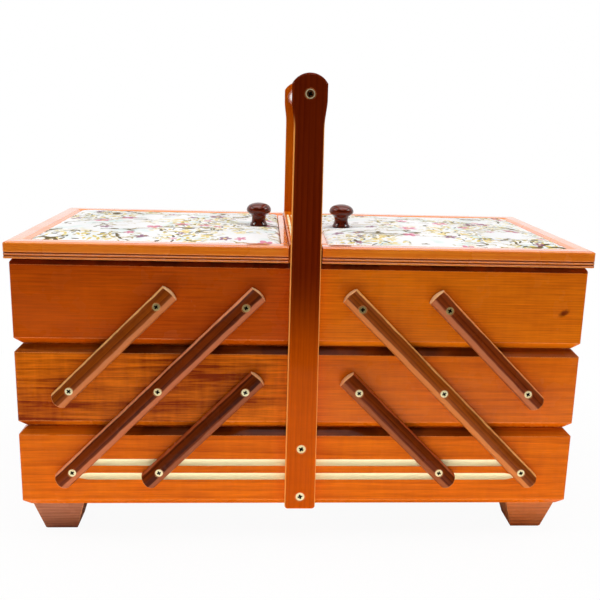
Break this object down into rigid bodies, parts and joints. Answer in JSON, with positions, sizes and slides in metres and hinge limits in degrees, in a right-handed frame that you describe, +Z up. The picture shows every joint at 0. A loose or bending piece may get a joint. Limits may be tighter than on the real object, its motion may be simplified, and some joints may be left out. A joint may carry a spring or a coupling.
{
  "type": "cantilever sewing box",
  "caption": "Wooden cantilever sewing box whose tray tiers fold out sideways on pivoting arms, with padded hinged lids, turned knobs and a carrying handle.",
  "frame": {"origin": "on the ground under the middle of the closed box", "axes": "+X along the box's length to its right, +Y from the front to the back, +Z up"},
  "size_m": [0.44, 0.227, 0.3606],
  "materials": {
    "body_wood": "satin varnish",
    "lid_wood": "satin varnish",
    "handle_wood": "satin varnish",
    "arm_wood": "satin varnish",
    "foot_wood": "satin varnish",
    "knob_wood": "gloss varnish",
    "panel_board": "matte",
    "lid_fabric": "woven",
    "hinge_brass": "satin",
    "screw_metal": "plated"
  },
  "bodies": {
    "root": {"base_front_panel": "body_wood", "base_back_panel": "body_wood", "base_left_end": "body_wood", "base_right_end": "body_wood", "base_floor": "panel_board", "feet": "foot_wood", "handle_front_upright": "handle_wood", "handle_back_upright": "handle_wood", "handle_grip": "handle_wood", "handle_screws": "screw_metal", "base_pivot_screws": "screw_metal"},
    "left_long_arms": {"left_long_arm_front": "arm_wood", "left_long_arm_back": "arm_wood"},
    "left_lower_arms": {"left_lower_arm_front": "arm_wood", "left_lower_arm_back": "arm_wood"},
    "left_upper_arms": {"left_upper_arm_front": "arm_wood", "left_upper_arm_back": "arm_wood"},
    "left_middle_tray": {"left_middle_front_panel": "body_wood", "left_middle_back_panel": "body_wood", "left_middle_inner_end": "body_wood", "left_middle_outer_end": "body_wood", "left_middle_floor": "panel_board", "left_middle_pivot_screws": "screw_metal"},
    "left_top_tray": {"left_top_front_panel": "body_wood", "left_top_back_panel": "body_wood", "left_top_inner_end": "body_wood", "left_top_outer_end": "body_wood", "left_top_floor": "panel_board", "left_top_pivot_screws": "screw_metal", "left_hinge_tray_leaves": "hinge_brass"},
    "left_lid": {"left_lid_rails": "lid_wood", "left_lid_board": "panel_board", "left_lid_pad": "lid_fabric", "left_lid_knob": "knob_wood", "left_hinge_lid_leaves": "hinge_brass"},
    "right_long_arms": {"right_long_arm_front": "arm_wood", "right_long_arm_back": "arm_wood"},
    "right_lower_arms": {"right_lower_arm_front": "arm_wood", "right_lower_arm_back": "arm_wood"},
    "right_upper_arms": {"right_upper_arm_front": "arm_wood", "right_upper_arm_back": "arm_wood"},
    "right_middle_tray": {"right_middle_front_panel": "body_wood", "right_middle_back_panel": "body_wood", "right_middle_inner_end": "body_wood", "right_middle_outer_end": "body_wood", "right_middle_floor": "panel_board", "right_middle_pivot_screws": "screw_metal"},
    "right_top_tray": {"right_top_front_panel": "body_wood", "right_top_back_panel": "body_wood", "right_top_inner_end": "body_wood", "right_top_outer_end": "body_wood", "right_top_floor": "panel_board", "right_top_pivot_screws": "screw_metal", "right_hinge_tray_leaves": "hinge_brass"},
    "right_lid": {"right_lid_rails": "lid_wood", "right_lid_board": "panel_board", "right_lid_pad": "lid_fabric", "right_lid_knob": "knob_wood", "right_hinge_lid_leaves": "hinge_brass"}
  },
  "joints": [
    {"name": "left_fold", "type": "hinge", "parent": "root", "child": "left_long_arms", "pos_m": [-0.1755, 0, 0.059], "axis": [0, -1, 0], "range_deg": [0, 90]},
    {"name": "left_lower_arm_swing", "type": "hinge", "parent": "root", "child": "left_lower_arms", "pos_m": [-0.1095, 0, 0.059], "axis": [0, -1, 0], "range_deg": [0, 90]},
    {"name": "left_middle_tray_level", "type": "hinge", "parent": "left_long_arms", "child": "left_middle_tray", "pos_m": [-0.1095, 0, 0.125], "axis": [0, -1, 0], "range_deg": [-90, 0]},
    {"name": "left_top_tray_level", "type": "hinge", "parent": "left_long_arms", "child": "left_top_tray", "pos_m": [-0.0435, 0, 0.191], "axis": [0, -1, 0], "range_deg": [-90, 0]},
    {"name": "left_upper_arm_swing", "type": "hinge", "parent": "left_middle_tray", "child": "left_upper_arms", "pos_m": [-0.1755, 0, 0.125], "axis": [0, -1, 0], "range_deg": [0, 90]},
    {"name": "left_lid_open", "type": "hinge", "parent": "left_top_tray", "child": "left_lid", "pos_m": [-0.2182, 0, 0.22425], "axis": [0, -1, 0], "range_deg": [0, 100]},
    {"name": "right_fold", "type": "hinge", "parent": "root", "child": "right_long_arms", "pos_m": [0.1755, 0, 0.059], "axis": [0, 1, 0], "range_deg": [0, 90]},
    {"name": "right_lower_arm_swing", "type": "hinge", "parent": "root", "child": "right_lower_arms", "pos_m": [0.1095, 0, 0.059], "axis": [0, 1, 0], "range_deg": [0, 90]},
    {"name": "right_middle_tray_level", "type": "hinge", "parent": "right_long_arms", "child": "right_middle_tray", "pos_m": [0.1095, 0, 0.125], "axis": [0, 1, 0], "range_deg": [-90, 0]},
    {"name": "right_top_tray_level", "type": "hinge", "parent": "right_long_arms", "child": "right_top_tray", "pos_m": [0.0435, 0, 0.191], "axis": [0, 1, 0], "range_deg": [-90, 0]},
    {"name": "right_upper_arm_swing", "type": "hinge", "parent": "right_middle_tray", "child": "right_upper_arms", "pos_m": [0.1755, 0, 0.125], "axis": [0, 1, 0], "range_deg": [0, 90]},
    {"name": "right_lid_open", "type": "hinge", "parent": "right_top_tray", "child": "right_lid", "pos_m": [0.2182, 0, 0.22425], "axis": [0, 1, 0], "range_deg": [0, 100]}
  ],
  "couplings": [
    {"joint": "left_lower_arm_swing", "follows": "left_fold", "ratio": 1},
    {"joint": "left_middle_tray_level", "follows": "left_fold", "ratio": -1},
    {"joint": "left_top_tray_level", "follows": "left_fold", "ratio": -1},
    {"joint": "left_upper_arm_swing", "follows": "left_fold", "ratio": 1},
    {"joint": "right_lower_arm_swing", "follows": "right_fold", "ratio": 1},
    {"joint": "right_middle_tray_level", "follows": "right_fold", "ratio": -1},
    {"joint": "right_top_tray_level", "follows": "right_fold", "ratio": -1},
    {"joint": "right_upper_arm_swing", "follows": "right_fold", "ratio": 1}
  ]
}
